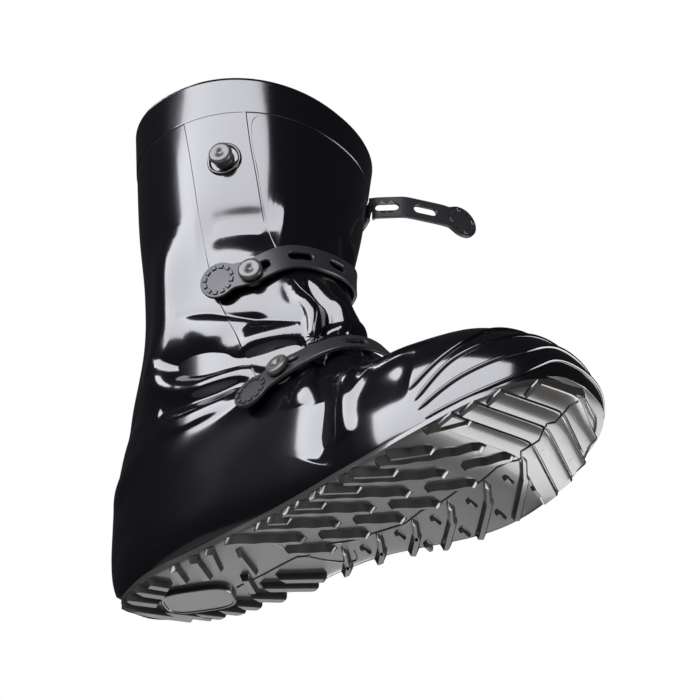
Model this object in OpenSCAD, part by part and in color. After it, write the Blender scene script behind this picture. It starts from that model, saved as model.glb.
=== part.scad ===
// Pull-on rubber overboot, right foot, with three button-and-strap closures.
// Row frame: +X to the toe, +Y to the inner (medial) side of the foot, +Z up.
// The origin is on the ground, at the centre of the heel pad.

/* [Boot] */
// Length from the back of the heel to the tip of the toe
boot_length = 322; // [290:1:350]
// Width across the ball of the foot
ball_width = 109; // [98:1:120]
// Height of the collar above the ground, on the leg's centre line
boot_height = 316; // [290:1:340]
// Thickness of the rubber wall
wall = 3; // [2.5:0.1:4]

/* [Sole] */
// Height of the tread lugs
lug_height = 5; // [3:0.5:7]
// Thickness of the sole plate above the lugs
plate_thickness = 4; // [3:0.5:6]
// Thickness of the loose insole
insole_thickness = 2.5; // [1.5:0.5:4]

/* [Straps and buttons] */
// Width of the strap's web
strap_width = 17; // [15:0.5:19]
// Thickness of the strap
strap_thickness = 2.4; // [2:0.1:3]
// Diameter of the strap's round pull tab
tab_diameter = 24; // [20:0.5:26]
// Diameter of the button's head
head_diameter = 15; // [13:0.5:17]
// Diameter of the button's neck
neck_diameter = 5; // [4:0.5:6]

/* [Hidden] */
rubber = [0.07, 0.07, 0.08];
tread = [0.12, 0.115, 0.11];
$fn = 48;

// The sections below are drawn for a middle size and scaled to the dimensions above.
scale_x = boot_length / 322;
scale_y = ball_width / 109;
scale_z = boot_height / 316;
sole_height = lug_height + plate_thickness;

// One row per section from the toe to the collar: centre x, centre z, tilt (0 stands across the
// foot, 90 lies across the leg), half width inside and outside, half height to the front and to
// the back or ground, roundness of the front and of the back, and the centre's y.
sections = [
  [267,  45,  0,  3,  3,  3,  3, 2.00, 2.0, 15],
  [263,  42,  0, 24, 22, 18, 18, 2.10, 2.2, 14],
  [250,  41,  0, 38, 37, 33, 36, 2.20, 2.8, 12],
  [225,  43,  0, 47, 49, 43, 46, 2.30, 3.6,  8],
  [190,  44,  0, 52, 55, 45, 50, 2.30, 4.0,  5],
  [162,  46,  0, 49, 53, 45, 52, 2.20, 4.0,  3],
  [142,  54,  8, 43, 48, 48, 58, 2.10, 3.8,  2],
  [115,  62, 22, 37, 45, 59, 66, 2.10, 3.6,  0],
  [ 80,  66, 36, 34, 43, 76, 77, 2.10, 3.2, -1],
  [ 40,  70, 53, 33, 43, 103, 109, 2.10, 2.4, -2],
  [ 34,  97, 66, 38, 44, 97, 105, 2.10, 2.1, -3],
  [ 34, 130, 78, 44, 47, 90, 86, 2.10, 2.1, -3],
  [ 35, 164, 90, 50, 51, 79, 70, 2.10, 2.1, -3],
  [ 37, 205, 90, 59, 59, 70, 67, 2.10, 2.1, -3],
  [ 39, 255, 90, 68, 67, 73, 72, 2.15, 2.15, -3],
  [ 41, 316, 90, 75, 74, 76, 73, 2.20, 2.2, -4]];
collar = len(sections) - 1;  // position of the last section, at the collar
ring_steps = 2;              // rings drawn from one section to the next
around = 32;                 // points in one ring
skew = 0.04;                 // how far the collar is twisted back on the outer side
rim_fall_x = 0.11;           // fall of the collar's edge towards the front
rim_fall_y = 0.10;           // fall of the collar's edge towards the inner side

// Outline of the sole: x, outer edge and inner edge.
sole_edges = [[-53, -5, -3], [-50, -14, 5], [-38, -25, 10], [-15, -34, 21], [5, -37, 28], [30, -38, 32],
              [60, -40, 35], [85, -41, 34], [115, -44, 37], [160, -50, 52], [195, -52, 57], [230, -43, 54],
              [252, -25, 43], [262, -7, 32], [266, 11, 19]];
toe_spring_start = 165;
toe_spring_curve = 330;
heel_roll_start = -30;
heel_roll_curve = 80;

function spline(a, b, c, d, f) =
    0.5 * (2 * b + (c - a) * f + (2 * a - 5 * b + 4 * c - d) * f * f + (3 * b - a - 3 * c + d) * f * f * f);
function along(rows, u) =
    let (i = min(floor(u), len(rows) - 2))
    spline(rows[max(i - 1, 0)], rows[i], rows[i + 1], rows[min(i + 2, len(rows) - 1)], u - i);
function unit(v) = v / norm(v);
function bow(v, roundness) = sign(v) * pow(abs(v), 2 / roundness);

// Rise of the ground face at x, in the middle size: the toe springs up and the heel rolls up.
function rise(x) = pow(max(x - toe_spring_start, 0), 2) / toe_spring_curve
                 + pow(max(heel_roll_start - x, 0), 2) / heel_roll_curve;

// A point of the boot's skin: u runs from the toe to the collar, turn runs round the section from
// the inner side (0) over the front (90) to the outer side (180), and inset moves it inwards.
function skin_point(u, turn, inset = 0) =
    let (s = along(sections, u), c = cos(turn), q = sin(turn), roundness = q >= 0 ? s[7] : s[8],
         y = bow(c, roundness) * ((c >= 0 ? s[3] : s[4]) - inset) + s[9],
         t = bow(q, roundness) * ((q >= 0 ? s[5] : s[6]) - inset),
         x = s[0] + t * sin(s[2]), z = s[1] + t * cos(s[2]), high = min(max((z - 190) / 125, 0), 1),
         fall = (rim_fall_x * (x - 41) + rim_fall_y * (y + 4)) * high * high)
    [(x + skew * (y + 4) * high) * scale_x, y * scale_y,
     max((z - fall) * scale_z, rise(x) + sole_height + inset)];
function skin_normal(u, turn) =
    let (e = 0.02, back = skin_point(max(u - e, 0), turn), ahead = skin_point(min(u + e, collar), turn),
         low = skin_point(u, turn - 1), high = skin_point(u, turn + 1))
    unit(cross(ahead - back, high - low));
function on_skin(u, turn, lift) = skin_point(u, turn) + lift * skin_normal(u, turn);

// Faces between two loops of n points that start at a and b, wound for a tube that runs from a to b
// and whose loops turn clockwise as seen along the run.
function band(a, b, n) = [for (j = [0 : n - 1]) let (k = (j + 1) % n) each
    [[a + j, b + j, b + k], [a + j, b + k, a + k]]];
function turned(faces) = [for (f = faces) [f[2], f[1], f[0]]];
function count_up(first, n) = [for (j = [0 : n - 1]) first + j];
function count_down(first, n) = [for (j = [n - 1 : -1 : 0]) first + j];

// A closed tube through loops of equal length, such as a strap's rectangular sections.
module through(loops) {
    n = len(loops[0]);
    m = len(loops);
    polyhedron([for (loop = loops) each loop],
               concat([count_up(0, n)], [for (i = [0 : m - 2]) each band(i * n, (i + 1) * n, n)],
                      [count_down((m - 1) * n, n)]));
}

// A strip along a path of [u, turn, lift of its underside] on the skin.
module strip(path, steps, width, thickness) {
    n = (len(path) - 1) * steps;
    route = [for (i = [0 : n]) along(path, i / steps)];
    through([for (i = [0 : n])
        let (a = route[max(i - 1, 0)], b = route[min(i + 1, n)], here = route[i],
             up = skin_normal(here[0], here[1]), run = skin_point(b[0], b[1]) - skin_point(a[0], a[1]),
             side = unit(cross(up, run)) * width / 2, low = on_skin(here[0], here[1], here[2]),
             high = low + up * thickness)
        [low - side, low + side, high + side, high - side]]);
}

// A patch of the skin between two lifts, from rows of [u, first turn, last turn].
module patch(rows, steps, columns, lift0, lift1) {
    m = (len(rows) - 1) * steps + 1;
    n = columns + 1;
    grid = [for (i = [0 : m - 1]) let (row = along(rows, i / steps)) each
        [for (j = [0 : columns]) [row[0], row[1] + (row[2] - row[1]) * j / columns]]];
    size = m * n;
    rim = concat([for (j = [0 : n - 1]) j], [for (i = [1 : m - 1]) i * n + n - 1],
                 [for (j = [n - 2 : -1 : 0]) (m - 1) * n + j], [for (i = [m - 2 : -1 : 1]) i * n]);
    top = [for (i = [0 : m - 2], j = [0 : n - 2]) let (a = size + i * n + j) each
        [[a, a + 1, a + n + 1], [a, a + n + 1, a + n]]];
    low = turned([for (f = top) [for (v = f) v - size]]);
    sides = [for (k = [0 : len(rim) - 1]) let (a = rim[k], b = rim[(k + 1) % len(rim)]) each
        [[a, b, size + b], [a, size + b, size + a]]];
    polyhedron([for (lift = [lift0, lift1], g = grid) on_skin(g[0], g[1], lift)], concat(top, low, sides));
}

// A band right round the leg, between two lifts.
module sleeve(u0, u1, steps, lift0, lift1) {
    us = [for (i = [0 : steps]) u0 + (u1 - u0) * i / steps];
    rings = concat([for (u = us) [u, lift1]], [for (i = [steps : -1 : 0]) [us[i], lift0]]);
    m = len(rings);
    polyhedron([for (r = rings, j = [0 : around - 1]) on_skin(r[0], j * 360 / around, r[1])],
               turned([for (i = [0 : m - 1]) each band(i * around, (i + 1) % m * around, around)]));
}

// Places children at p with +Z along n, and +X as near as it can be to the run.
module stand_on(p, n, run) {
    z = unit(n);
    y = unit(cross(z, run));
    x = cross(y, z);
    multmatrix([[x[0], y[0], z[0], p[0]], [x[1], y[1], z[1], p[1]], [x[2], y[2], z[2], p[2]], [0, 0, 0, 1]])
        children();
}

// ---- Buttons: each stands on the skin at [u, turn], and its strap's tab lies along the run ----
button_spots = [[14.02, 152.7], [12.22, 143], [7.92, 153]];
button_runs = [[-1, -0.4, 0], [-0.95, -0.3, -0.03], [-0.88, -0.17, -0.42]];
washer_radii = [11, 7.8, 7.8];
washer_height = 2.5;
strap_lift = washer_height + 1.3;  // underside of a fastened strap above the skin
head_lift = strap_lift + strap_thickness + 0.4;     // underside of a button's head above the skin
head_thickness = 4.2;
flange_thickness = 1.6;

module at_button(i) {
    spot = button_spots[i];
    stand_on(skin_point(spot[0], spot[1]), skin_normal(spot[0], spot[1]), button_runs[i]) children();
}

module upper() color(rubber) {
    m = collar * ring_steps;
    outer = [for (i = [0 : m], j = [0 : around - 1]) skin_point(i / ring_steps, j * 360 / around)];
    toe = 2 * ring_steps;
    inner = [for (i = [toe : m], j = [0 : around - 1]) skin_point(i / ring_steps, j * 360 / around, wall)];
    inside = len(outer);
    polyhedron(concat(outer, inner), concat(
        [count_down(0, around), count_up(inside, around)],
        turned([for (i = [0 : m - 1]) each band(i * around, (i + 1) * around, around)]),
        [for (i = [0 : m - toe - 1]) each band(inside + i * around, inside + (i + 1) * around, around)],
        turned(band(m * around, inside + (m - toe) * around, around))));
}

// ---- Layers bonded to the leg ----
skin_gap = 0.3;
layer_thickness = 0.8;
layer_top = skin_gap + layer_thickness;
collar_start = 14.5;
placket_rows = [[11, 118, 158], [11.84, 121, 163], [12.4, 126, 165], [13.1, 133, 168], [13.7, 137, 169.5],
                [14.2, 140, 172], [14.47, 142, 176]];
gusset_rows = [[11.3, 84, 115], [12.4, 80, 124], [12.7, 79, 127], [13.26, 78, 131], [13.7, 78, 135],
               [14.2, 77, 138], [14.47, 76, 140]];

module collar_band() color(rubber) sleeve(collar_start, collar, 3, skin_gap, layer_top);
module button_placket() color(rubber) difference() {
    patch(placket_rows, 2, 6, skin_gap, layer_top);
    for (i = [0 : 1]) at_button(i) translate([0, 0, -5]) cylinder(r = washer_radii[i] + 0.8, h = 12);
}
module gusset_panel() color(rubber) patch(gusset_rows, 3, 8, skin_gap + 0.2, layer_top + 0.2);
module rear_pull_lug() color(rubber)
    stand_on(on_skin(14.4, 270, layer_top + 0.2), skin_normal(14.4, 270), [0, 0, 1])
        linear_extrude(5) square([9, 14], center = true);

// ---- Ribs over the toe, from the outer side to the inner side ----
rib_lines = [
  [[3.76, 181], [3.36, 174], [2.92, 157], [2.6, 132], [2.35, 104]],
  [[3.68, 185], [3.28, 180], [2.76, 169], [2.28, 150], [1.96, 122], [1.82, 100]],
  [[3.64, 190], [3.28, 184], [2.88, 180], [2, 158], [1.44, 110]],
  [[3.56, 197], [3.12, 190], [2.72, 183], [1.96, 174], [0.95, 150]]];
// A whole rib from its outer half, mirrored over the toe.
function whole_rib(line) = concat(
    [for (p = line) [p[0], p[1], rib_lift]],
    [for (i = [len(line) - 1 : -1 : 0]) [line[i][0], 180 - line[i][1], rib_lift]]);
rib_lift = 0.7;
rib_width = 1.8;
rib_thickness = 1.2;
module toe_ribs() color(rubber) for (line = rib_lines) strip(whole_rib(line), 2, rib_width, rib_thickness);

// ---- Button studs and the washers under the straps ----
module stud(i) color(rubber) at_button(i) {
    inside = -wall - 1 - flange_thickness;
    translate([0, 0, inside]) cylinder(r = washer_radii[i] - 0.6, h = flange_thickness - 0.1);
    translate([0, 0, inside + 0.5]) cylinder(d = neck_diameter, h = head_lift - inside);
    translate([0, 0, head_lift]) rotate_extrude() polygon([[0, 0], [head_diameter / 2 - 0.6, 0],
        [head_diameter / 2, 0.8], [head_diameter / 2, head_thickness - 1.4],
        [head_diameter / 2 - 1.4, head_thickness], [1.6, head_thickness], [0, head_thickness - 0.8]]);
}
module washer(i) color(rubber) at_button(i) translate([0, 0, 0.05]) difference() {
    cylinder(r = washer_radii[i], h = washer_height);
    translate([0, 0, -1]) cylinder(d = neck_diameter + 0.2, h = washer_height + 2);
}
module button_top() stud(0);
module button_middle() stud(1);
module button_lower() stud(2);
module washer_top() washer(0);
module washer_middle() washer(1);
module washer_lower() washer(2);

// ---- Straps ----
slot_length = 16;
slot_width = 5.8;
dash_count = 12;
web_end = 8.4;       // from a button's centre to the end of its strap's web
hinge_gap = 0.5;     // between a web and its tab

module slot_outline() {
    square([slot_length - slot_width, slot_width], center = true);
    for (side = [-1, 1]) translate([side * (slot_length - slot_width) / 2, 0]) circle(d = slot_width);
}
module slot_cut() translate([0, 0, -10]) linear_extrude(20) slot_outline();
// The tab's near edge is at the origin and its plate lies on the plane z = 0.
module tab() {
    radius = tab_diameter / 2;
    linear_extrude(strap_thickness) intersection() {
        union() {
            translate([radius, 0]) circle(r = radius);
            translate([0, -strap_width / 2]) square([radius, strap_width]);
        }
        translate([0, -radius]) square(tab_diameter);
    }
    for (k = [0 : dash_count - 1]) translate([radius, 0, strap_thickness - 0.1]) rotate(k * 360 / dash_count)
        translate([radius - 3.2, -1.6, 0]) cube([1.8, 3.2, 0.7]);
}
root_paths = [
  [[14.5, 12, 1.4], [14.48, 26, 1.4], [14.46, 40.5, 1.45]],
  [[13.05, 38, 0.3], [12.98, 48, 0.6], [12.88, 60, 1.4]],
  [[7.8, 26, 0.3], [7.45, 38, 0.8], [7.1, 52, 1.6]]];
web_paths = [
  [[12.875, 60.6, 1.5], [12.7, 80, 1.8], [12.6, 98, 1.8], [12.56, 111, 2], [12.5, 123, 2.4],
   [12.36, 134, 3.2], [12.22, 143, strap_lift], [12.18, 149, strap_lift]],
  [[7.07, 53.6, 1.7], [6.8, 68, 2.2], [6.62, 88, 2.2], [6.6, 104, 2.2], [6.7, 119, 2.2], [7.05, 136, 2.8],
   [7.45, 146, 3.4], [7.92, 153, strap_lift], [8.1, 156, strap_lift]]];
web_slots = [[[12.54, 115], [12.65, 89]], [[6.68, 117], [6.61, 91]]];
tab_tilts = [5, 1];  // how far a fastened tab leans back to the leg from its button's plane

module root(i) color(rubber) strip(root_paths[i], 3, strap_width + 1, strap_thickness);
module web(i) color(rubber) difference() {
    strip(web_paths[i - 1], 3, strap_width, strap_thickness);
    at_button(i) translate([neck_diameter / 2 + 0.5 - slot_length / 2, 0, 0]) slot_cut();
    for (s = web_slots[i - 1]) stand_on(skin_point(s[0], s[1]), skin_normal(s[0], s[1]),
        skin_point(s[0] - 0.03, s[1] + 3) - skin_point(s[0] + 0.03, s[1] - 3)) slot_cut();
}
module fastened_tab(i) color(rubber) at_button(i) translate([web_end + hinge_gap, 0, strap_lift])
    rotate([0, tab_tilts[i - 1], 0]) tab();
module strap_root_middle() root(1);
module strap_root_lower() root(2);
module strap_middle_web() web(1);
module strap_lower_web() web(2);
module strap_middle_tab() fastened_tab(1);
module strap_lower_tab() fastened_tab(2);

// The top strap hangs open: three flat links about upright axes, each turned a little further out.
pivot = [94 * scale_x, 54 * scale_y, 279 * scale_z];
link_lengths = [23, 28];
link_slots = [10.5, 14];
link_turns = [38, 60, 73];
link_gaps = [1.5, 0.3, 0.3];  // from each pivot's round to the piece that turns about it
edge = strap_thickness / 2;
function pivot_of(k) = k == 0 ? pivot : pivot_of(k - 1)
    + link_lengths[k - 1] * [cos(link_turns[k - 1]), sin(link_turns[k - 1]), 0];
// Places a flat piece so that +X is its run from pivot k and its faces stand upright.
module at_pivot(k) translate(pivot_of(k)) rotate([0, 0, link_turns[k]]) rotate([90, 0, 0]) children();
module round_end(length) rotate([90, 0, 0]) cylinder(d = strap_thickness, h = length, center = true);
module link(k) color(rubber) at_pivot(k) difference() {
    union() {
        translate([edge + link_gaps[k], -strap_width / 2, -edge])
            cube([link_lengths[k] - edge - link_gaps[k], strap_width, strap_thickness]);
        translate([link_lengths[k], 0, 0]) round_end(strap_width);
    }
    translate([link_slots[k], 0, 0]) slot_cut();
}
module strap_root_top() color(rubber) {
    difference() {
        strip(root_paths[0], 3, strap_width, strap_thickness);
        stand_on(skin_point(14.48, 25), skin_normal(14.48, 25), skin_point(14.47, 28) - skin_point(14.49, 22))
            slot_cut();
    }
    translate(pivot) cylinder(d = strap_thickness, h = strap_width, center = true);
}
module strap_top_link_1() link(0);
module strap_top_link_2() link(1);
module strap_top_tab() color(rubber) at_pivot(2) translate([edge + link_gaps[2], 0, -edge]) tab();

// ---- Sole ----
function sole_outline(inset) = let (rows = [for (u = [0 : 0.5 : len(sole_edges) - 1]) along(sole_edges, u)],
    n = len(rows)) concat(
    [for (r = rows) [r[0] * scale_x, (r[1] + inset) * scale_y]],
    [for (i = [n - 1 : -1 : 0]) [rows[i][0] * scale_x, (rows[i][2] - inset) * scale_y]]);
// Side view of a slice of the sole between two heights above the rising ground face.
function side_slice(low, high) = let (xs = [for (x = [-56 : 8 : 272]) x]) concat(
    [for (x = xs) [x * scale_x, rise(x) + low]],
    [for (i = [len(xs) - 1 : -1 : 0]) [xs[i] * scale_x, rise(xs[i]) + high]]);
module slice(low, high) rotate([90, 0, 0]) linear_extrude(200, center = true) polygon(side_slice(low, high));
module outline(inset = 0) polygon(sole_outline(inset));

// Lugs seen from below: start x and y, direction, length, width, and how far the second half steps
// to the left of the first.
row_pitch = 25;
forefoot_lugs = [for (k = [-1 : 5]) let (x = 98 + row_pitch * (k + 1)) each [
    [x, 8, -142, 27, 8, 2.5],
    [x - 5, -13, -142, 52, 8.5, -3.5],
    [x - 3, 24, 135, 32, 7, -2.5],
    [x + 4, 12, 125, 20, 6, 2]]];
toe_lugs = [for (k = [0 : 2]) each [
    [238 + 11 * k, 8, -102 + 6 * k, 52, 6.5, -2],
    [242 + 11 * k, 13, 92, 40, 6.5, 2]]];
heel_lugs = concat(
    [for (k = [0 : 3]) [-44 + 9 * k, -30 + 2 * k, 58, 26 + 6 * k, 5.5, 1.5]],
    [for (k = [0 : 3]) [2 + 13 * k, -24, -112, 20, 7, -2]],
    [[26, 15, -60, 16, 7, 0], [45, 2, -66, 26, 6, 2], [30, 18, 40, 34, 6.5, 0], [46, 12, 40, 36, 6.5, 2],
     [-4, 20, 62, 22, 6.5, 0], [12, 22, 52, 24, 6.5, 0]]);
module lug(l) translate([l[0], l[1]]) rotate(l[2]) {
    translate([0, -l[4] / 2]) square([l[3] / 2 + 1, l[4]]);
    translate([l[3] / 2 - 1, l[5] - l[4] / 2]) square([l[3] / 2 + 1, l[4]]);
}
shank_line = 1.6;
module shank_ribs() for (side = [-1, 1])
    translate([76, 0]) rotate(side * 28) square([26, shank_line], center = true);
heel_pad = [44, 26];
heel_pad_turn = 25;
module outsole() color(tread) {
    difference() {
        intersection() {
            slice(lug_height, sole_height - 0.15);
            linear_extrude(70) outline();
        }
        intersection() {
            slice(-1, lug_height + 0.8);
            linear_extrude(70) shank_ribs();
        }
    }
    intersection() {
        slice(0, lug_height + 0.5);
        linear_extrude(70) intersection() {
            outline(1);
            for (l = concat(forefoot_lugs, toe_lugs, heel_lugs)) lug(l);
        }
    }
    linear_extrude(lug_height + 0.5) rotate(heel_pad_turn) square(heel_pad, center = true);
}

module insole() color("dimgray")
    intersection() {
        slice(sole_height + wall + 1, sole_height + wall + 1 + insole_thickness);
        linear_extrude(70) intersection() {
            outline(14);
            translate([-19, -60]) square([264, 120]);
        }
    }

upper();
outsole();
insole();
collar_band();
button_placket();
gusset_panel();
toe_ribs();
rear_pull_lug();
button_top();
button_middle();
button_lower();
washer_top();
washer_middle();
washer_lower();
strap_root_top();
strap_root_middle();
strap_root_lower();
strap_top_link_1();
strap_top_link_2();
strap_top_tab();
strap_middle_web();
strap_middle_tab();
strap_lower_web();
strap_lower_tab();
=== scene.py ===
"""The looks of a black rubber overboot with slotted, buttoned straps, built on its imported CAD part."""
import math

import bmesh
import bpy
import numpy as np
from mathutils import Matrix, Vector
from mathutils.geometry import delaunay_2d_cdt


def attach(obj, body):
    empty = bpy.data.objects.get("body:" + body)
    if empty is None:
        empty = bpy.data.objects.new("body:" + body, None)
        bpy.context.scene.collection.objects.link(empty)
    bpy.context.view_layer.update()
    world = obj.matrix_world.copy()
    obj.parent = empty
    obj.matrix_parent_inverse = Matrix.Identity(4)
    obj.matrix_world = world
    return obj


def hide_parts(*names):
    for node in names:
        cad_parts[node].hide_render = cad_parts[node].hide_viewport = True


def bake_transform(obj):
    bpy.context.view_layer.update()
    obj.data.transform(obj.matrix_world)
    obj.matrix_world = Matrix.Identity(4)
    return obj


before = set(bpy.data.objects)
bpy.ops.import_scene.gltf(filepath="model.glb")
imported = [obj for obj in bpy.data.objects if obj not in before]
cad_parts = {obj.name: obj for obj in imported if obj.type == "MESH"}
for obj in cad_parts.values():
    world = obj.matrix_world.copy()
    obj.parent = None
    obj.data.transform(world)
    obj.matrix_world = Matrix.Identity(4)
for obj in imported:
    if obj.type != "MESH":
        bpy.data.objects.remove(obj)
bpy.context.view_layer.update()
MM = 0.001
DEG = math.pi / 180

# ------------ the boot's skin (millimetres)
# One row per section from the toe to the collar: centre x, centre z, tilt (0 stands across the
# foot, 90 lies across the leg), half width inside and outside, half height to the front and to
# the back or ground, roundness of the front and of the back, and the centre's y.
SECTIONS = np.array([
    (267, 45, 0, 3, 3, 3, 3, 2.00, 2.0, 15),
    (263, 42, 0, 24, 22, 18, 18, 2.10, 2.2, 14),
    (250, 41, 0, 38, 37, 33, 36, 2.20, 2.8, 12),
    (225, 43, 0, 47, 49, 43, 46, 2.30, 3.6, 8),
    (190, 44, 0, 52, 55, 45, 50, 2.30, 4.0, 5),
    (162, 46, 0, 49, 53, 45, 52, 2.20, 4.0, 3),
    (142, 54, 8, 43, 48, 48, 58, 2.10, 3.8, 2),
    (115, 62, 22, 37, 45, 59, 66, 2.10, 3.6, 0),
    (80, 66, 36, 34, 43, 76, 77, 2.10, 3.2, -1),
    (40, 70, 53, 33, 43, 103, 109, 2.10, 2.4, -2),
    (34, 97, 66, 38, 44, 97, 105, 2.10, 2.1, -3),
    (34, 130, 78, 44, 47, 90, 86, 2.10, 2.1, -3),
    (35, 164, 90, 50, 51, 79, 70, 2.10, 2.1, -3),
    (37, 205, 90, 59, 59, 70, 67, 2.10, 2.1, -3),
    (39, 255, 90, 68, 67, 73, 72, 2.15, 2.15, -3),
    (41, 316, 90, 75, 74, 76, 73, 2.20, 2.2, -4)], float)
COLLAR = len(SECTIONS) - 1
SOLE_TOP = 9
WALL = 3
# Outline of the sole: x, outer edge and inner edge.
SOLE_EDGES = np.array([
    (-53, -5, -3), (-50, -14, 5), (-38, -25, 10), (-15, -34, 21), (5, -37, 28), (30, -38, 32),
    (60, -40, 35), (85, -41, 34), (115, -44, 37), (160, -50, 52), (195, -52, 57), (230, -43, 54),
    (252, -25, 43), (262, -7, 32), (266, 11, 19)], float)
# The ground face leaves the floor at these places, on parabolas: x, and twice the radius.
TOE_SPRING = (165, 330)
HEEL_ROLL = (-30, 80)
# The collar's plane leans, from this height up: how much it drops to the front and to the inner
# side of the shaft's middle, and how much it shifts to the front.
LEAN_FROM, LEAN_OVER = 190, 125
SHAFT_X, SHAFT_Y = 41, -4
DROP_FRONT, DROP_INNER, SHIFT_FRONT = 0.11, 0.10, 0.04


def along(rows, u):
    """Points of a smooth curve through the rows, at positions u."""
    rows = np.asarray(rows, float)
    u = np.clip(np.asarray(u, float), 0, len(rows) - 1)
    i = np.minimum(np.floor(u).astype(int), len(rows) - 2)
    f = (u - i)[..., None]
    a, b, c, d = (rows[np.clip(i + k, 0, len(rows) - 1)] for k in (-1, 0, 1, 2))
    return 0.5 * (2 * b + (c - a) * f + (2 * a - 5 * b + 4 * c - d) * f**2 + (3 * b - a - 3 * c + d) * f**3)


def rise(x):
    """Height of the ground face at x: the toe springs up and the heel rolls up."""
    ahead, behind = np.maximum(x - TOE_SPRING[0], 0), np.maximum(HEEL_ROLL[0] - x, 0)
    return ahead**2 / TOE_SPRING[1] + behind**2 / HEEL_ROLL[1]


def signed_power(v, power):
    """The power of a number's size, with its sign kept."""
    return np.sign(v) * np.abs(v)**power


def skin(u, turn, inset=0.0):
    """Smooth skin: u runs from toe to collar, turn in degrees from the inner side over the front."""
    u, turn = np.broadcast_arrays(np.asarray(u, float), np.asarray(turn, float))
    s = along(SECTIONS, u)
    c, q = np.cos(turn * DEG), np.sin(turn * DEG)
    roundness = np.where(q >= 0, s[..., 7], s[..., 8])
    y = signed_power(c, 2 / roundness) * (np.where(c >= 0, s[..., 3], s[..., 4]) - inset) + s[..., 9]
    t = signed_power(q, 2 / roundness) * (np.where(q >= 0, s[..., 5], s[..., 6]) - inset)
    tilt = s[..., 2] * DEG
    x, z = s[..., 0] + t * np.sin(tilt), s[..., 1] + t * np.cos(tilt)
    high = np.clip((z - LEAN_FROM) / LEAN_OVER, 0, 1)
    z = z - (DROP_FRONT * (x - SHAFT_X) + DROP_INNER * (y - SHAFT_Y)) * high**2
    x = x + SHIFT_FRONT * (y - SHAFT_Y) * high
    return np.stack([x, y, np.maximum(z, rise(x) + SOLE_TOP + inset)], -1)


def unit(v):
    """The vectors, each made one long."""
    return v / np.maximum(np.linalg.norm(v, axis=-1, keepdims=True), 1e-9)


def skin_normal(u, turn):
    """Outward normal of the smooth skin."""
    u, turn = np.broadcast_arrays(np.asarray(u, float), np.asarray(turn, float))
    du = 0.02
    ahead = skin(np.minimum(u + du, COLLAR), turn) - skin(np.maximum(u - du, 0), turn)
    across = skin(u, turn + 1) - skin(u, turn - 1)
    return unit(np.cross(ahead, across))


# ------------ mesh helpers
def mesh_object(name, points, faces, material):
    """A smooth-shaded mesh object, from points in millimetres, with its faces turned outwards."""
    mesh = bpy.data.meshes.new(name)
    mesh.from_pydata((np.asarray(points, float) * MM).tolist(), [], faces)
    mesh.validate()
    mesh.materials.append(material)
    mesh.shade_smooth()
    obj = bpy.data.objects.new(name, mesh)
    bpy.context.collection.objects.link(obj)
    outward(mesh)
    return obj


def grid_faces(rows, columns, start=0, wrap=True, flip=False):
    """Faces between the rows of a grid of points, joined round its columns if wrap is true."""
    faces = []
    for i in range(rows - 1):
        for j in range(columns if wrap else columns - 1):
            k = (j + 1) % columns
            a, b = start + i * columns, start + (i + 1) * columns
            face = (a + j, a + k, b + k, b + j)
            faces.append(face[::-1] if flip else face)
    return faces


def tube_faces(rows, columns):
    """Faces of a tube of closed rings, with its two end caps."""
    caps = [tuple(range(columns))[::-1], tuple(range((rows - 1) * columns, rows * columns))]
    return grid_faces(rows, columns) + caps


def outward(mesh):
    """Turns every face of a closed mesh outwards."""
    bm = bmesh.new()
    bm.from_mesh(mesh)
    bmesh.ops.recalc_face_normals(bm, faces=bm.faces)
    bm.to_mesh(mesh)
    bm.free()


# ------------ materials
def set_inputs(node, values):
    """Sets a node's sockets from a dictionary."""
    for name, value in values.items():
        node.inputs[name].default_value = value


def rubber(name, colour, roughness, coat=0.0, shine=0.5, grain=0.0, grain_scale=900.0):
    """Rubber or felt whose gloss is mottled, with a fine grain if grain isn't 0."""
    material = bpy.data.materials.new(name)
    material.use_nodes = True
    nodes, links = material.node_tree.nodes, material.node_tree.links
    shader = nodes["Principled BSDF"]
    set_inputs(shader, {"Base Color": (*colour, 1), "Roughness": roughness, "Coat Weight": coat,
                        "Specular IOR Level": shine, "Coat Roughness": 0.06})
    place = nodes.new("ShaderNodeTexCoord")
    cloud = nodes.new("ShaderNodeTexNoise")
    set_inputs(cloud, {"Scale": 18, "Detail": 4})
    spread = nodes.new("ShaderNodeMapRange")
    set_inputs(spread, {"From Min": 0.3, "From Max": 0.7, "To Min": roughness * 0.85,
                        "To Max": roughness * 1.2})
    links.new(place.outputs["Object"], cloud.inputs["Vector"])
    links.new(cloud.outputs["Fac"], spread.inputs["Value"])
    links.new(spread.outputs["Result"], shader.inputs["Roughness"])
    if grain:
        fine = nodes.new("ShaderNodeTexNoise")
        set_inputs(fine, {"Scale": grain_scale})
        bump = nodes.new("ShaderNodeBump")
        set_inputs(bump, {"Strength": grain, "Distance": 0.0002})
        links.new(place.outputs["Object"], fine.inputs["Vector"])
        links.new(fine.outputs["Fac"], bump.inputs["Height"])
        links.new(bump.outputs["Normal"], shader.inputs["Normal"])
    return material


LATEX = rubber("black_latex", (0.0022, 0.0022, 0.003), 0.13, coat=0.25)
TREAD = rubber("tread_rubber", (0.02, 0.018, 0.016), 0.22, coat=0.3)
BUTTON = rubber("button_rubber", (0.034, 0.029, 0.027), 0.3, grain=0.3)
STRAP = rubber("strap_rubber", (0.013, 0.013, 0.015), 0.38, shine=0.34)
FELT = rubber("insole_felt", (0.1, 0.1, 0.1), 0.9, grain=0.8, grain_scale=2500)


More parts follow.
